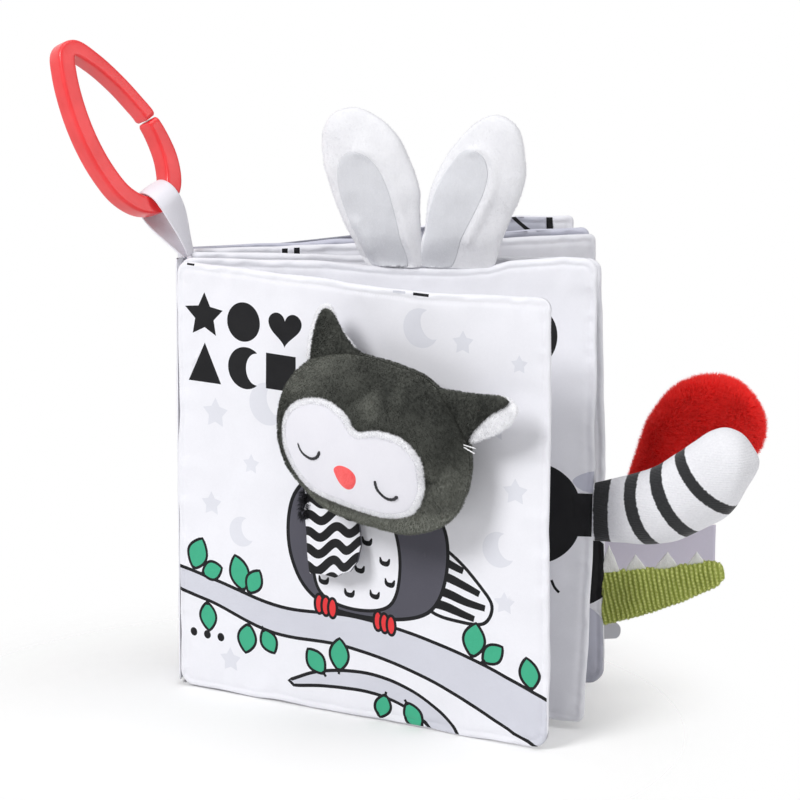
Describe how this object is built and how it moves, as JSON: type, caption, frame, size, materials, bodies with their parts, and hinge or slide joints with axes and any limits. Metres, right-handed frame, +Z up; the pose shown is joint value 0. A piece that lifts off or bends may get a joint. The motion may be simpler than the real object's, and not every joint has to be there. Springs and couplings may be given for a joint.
{
  "type": "crinkle cloth book",
  "caption": "Soft fanned-out cloth book with padded leaves, a plush owl head, rabbit ears, stuffed tails, a blank label and a split ring in a ribbon loop.",
  "frame": {"origin": "on the foot rim of the third leaf's front cloth, half way along it", "axes": "+X along the third leaf away from the spine, +Y from the front cover towards the back cover, +Z up"},
  "size_m": [0.2445, 0.1562, 0.2227],
  "materials": {
    "white_cloth": "matt printed cotton cloth",
    "grey_cloth": "matt printed cotton cloth",
    "crinkle_film": "thin crackling film",
    "wadding": "soft filling",
    "grey_plush": "short plush",
    "white_plush": "short plush",
    "light_grey_plush": "smooth plush",
    "coral_felt": "felt",
    "black_thread": "embroidery thread",
    "wavy_print": "black and white printed cotton",
    "striped_knit": "smooth plush with dark stripes",
    "green_corduroy": "ribbed corduroy",
    "white_felt": "felt",
    "red_fur": "long pile",
    "lilac_tape": "smooth tape",
    "grey_tape": "matt tape",
    "white_satin": "satin ribbon",
    "coral_plastic": "satin"
  },
  "bodies": {
    "leaf_3": {"leaf_3_front_cloth": "white_cloth", "leaf_3_back_cloth": "white_cloth", "leaf_3_crinkle_film": "crinkle_film", "leaf_3_wadding": "wadding", "spine_fold_leaf_2": "white_cloth", "spine_fold_leaf_4": "white_cloth"},
    "leaf_2": {"leaf_2_front_cloth": "white_cloth", "leaf_2_back_cloth": "white_cloth", "leaf_2_crinkle_film": "crinkle_film", "leaf_2_wadding": "wadding", "spine_fold_front_cover": "white_cloth"},
    "front_cover": {"front_cover_front_cloth": "white_cloth", "front_cover_back_cloth": "white_cloth", "front_cover_crinkle_film": "crinkle_film", "front_cover_wadding": "wadding"},
    "leaf_4": {"leaf_4_front_cloth": "white_cloth", "leaf_4_back_cloth": "white_cloth", "leaf_4_crinkle_film": "crinkle_film", "leaf_4_wadding": "wadding", "spine_fold_leaf_5": "white_cloth"},
    "leaf_5": {"leaf_5_front_cloth": "grey_cloth", "leaf_5_back_cloth": "grey_cloth", "leaf_5_crinkle_film": "crinkle_film", "leaf_5_wadding": "wadding", "spine_fold_back_cover": "white_cloth"},
    "back_cover": {"back_cover_front_cloth": "grey_cloth", "back_cover_back_cloth": "white_cloth", "back_cover_crinkle_film": "crinkle_film", "back_cover_wadding": "wadding"},
    "owl_head": {"owl_head_plush": "grey_plush", "owl_head_stuffing": "wadding", "owl_face_patch": "white_plush", "owl_nose": "coral_felt", "owl_eye_left": "black_thread", "owl_eye_right": "black_thread", "owl_ear_left": "grey_plush", "owl_ear_left_lining": "white_plush", "owl_ear_right": "grey_plush", "owl_ear_right_lining": "white_plush"},
    "wing": {"wing_flap": "wavy_print"},
    "rabbit_ear_left": {"rabbit_ear_left_plush": "white_plush", "rabbit_ear_left_inner": "light_grey_plush"},
    "rabbit_ear_right": {"rabbit_ear_right_plush": "white_plush", "rabbit_ear_right_inner": "light_grey_plush"},
    "striped_tail": {"striped_tail": "striped_knit"},
    "green_tail": {"green_tail": "green_corduroy", "felt_spike_1": "white_felt", "felt_spike_2": "white_felt", "felt_spike_3": "white_felt", "felt_spike_4": "white_felt"},
    "red_tail": {"red_tail": "red_fur"},
    "label": {"blank_label": "lilac_tape"},
    "tab": {"grey_tab": "grey_tape"},
    "ribbon": {"ribbon_loop": "white_satin"},
    "ring": {"link_ring": "coral_plastic"}
  },
  "joints": [
    {"name": "leaf_2_turn", "type": "hinge", "parent": "leaf_3", "child": "leaf_2", "pos_m": [-0.07271, -0.00151, 0], "axis": [0, 0, 1], "range_deg": [-90, 3]},
    {"name": "front_cover_turn", "type": "hinge", "parent": "leaf_2", "child": "front_cover", "pos_m": [-0.07359, -0.00539, 0], "axis": [0, 0, 1], "range_deg": [-150, 6]},
    {"name": "leaf_4_turn", "type": "hinge", "parent": "leaf_3", "child": "leaf_4", "pos_m": [-0.07273, 0.00246, 0], "axis": [0, 0, 1], "range_deg": [-10.8, 65]},
    {"name": "leaf_5_turn", "type": "hinge", "parent": "leaf_4", "child": "leaf_5", "pos_m": [-0.07347, 0.00638, 0], "axis": [0, 0, 1], "range_deg": [-2, 70]},
    {"name": "back_cover_turn", "type": "hinge", "parent": "leaf_5", "child": "back_cover", "pos_m": [-0.07467, 0.01019, 0], "axis": [0, 0, 1], "range_deg": [-4, 100]},
    {"name": "owl_head_rock", "type": "hinge", "parent": "front_cover", "child": "owl_head", "pos_m": [0.00227, -0.04873, 0.1], "axis": [0.891, -0.454, 0], "range_deg": [-3, 3], "stiffness_Nm_per_rad": 0.3},
    {"name": "wing_lift", "type": "hinge", "parent": "front_cover", "child": "wing", "pos_m": [-0.01743, -0.03892, 0.0755], "axis": [0.891, -0.454, 0], "range_deg": [-52, 8]},
    {"name": "rabbit_ear_left_bend", "type": "hinge", "parent": "leaf_2", "child": "rabbit_ear_left", "pos_m": [0.00075, -0.01054, 0.15025], "axis": [0.9955, -0.0951, 0], "range_deg": [-50, 50], "stiffness_Nm_per_rad": 0.01},
    {"name": "rabbit_ear_right_bend", "type": "hinge", "parent": "leaf_2", "child": "rabbit_ear_right", "pos_m": [0.02464, -0.01282, 0.15025], "axis": [0.9955, -0.0951, 0], "range_deg": [-50, 50], "stiffness_Nm_per_rad": 0.01},
    {"name": "striped_tail_swing", "type": "hinge", "parent": "leaf_2", "child": "striped_tail", "pos_m": [0.0691, -0.03515, 0.0685], "axis": [0, 0, 1], "range_deg": [-30, 30], "stiffness_Nm_per_rad": 0.01},
    {"name": "green_tail_swing", "type": "hinge", "parent": "leaf_3", "child": "green_tail", "pos_m": [0.073, 0.00047, 0.0305], "axis": [0, 0, 1], "range_deg": [-30, 30], "stiffness_Nm_per_rad": 0.01},
    {"name": "red_tail_swing", "type": "hinge", "parent": "leaf_5", "child": "red_tail", "pos_m": [0.06515, 0.05085, 0.048], "axis": [0, 0, 1], "range_deg": [-25, 15], "stiffness_Nm_per_rad": 0.01},
    {"name": "label_swing", "type": "hinge", "parent": "leaf_4", "child": "label", "pos_m": [0.06882, 0.03718, 0.029], "axis": [0, 0, 1], "range_deg": [-30, 10], "stiffness_Nm_per_rad": 0.001},
    {"name": "tab_swing", "type": "hinge", "parent": "leaf_4", "child": "tab", "pos_m": [0.06882, 0.03718, 0.005], "axis": [0, 0, 1], "range_deg": [-30, 30], "stiffness_Nm_per_rad": 0.001},
    {"name": "ribbon_swing", "type": "hinge", "parent": "leaf_3", "child": "ribbon", "pos_m": [-0.07, 0.00047, 0.14901], "axis": [0.2588, 0.9659, 0], "range_deg": [-4, 50], "stiffness_Nm_per_rad": 0.1},
    {"name": "ring_swing", "type": "hinge", "parent": "ribbon", "child": "ring", "pos_m": [-0.0798, -0.00052, 0.16741], "axis": [-0.6118, -0.6945, -0.3787], "range_deg": [-40, 40], "stiffness_Nm_per_rad": 0.05}
  ]
}
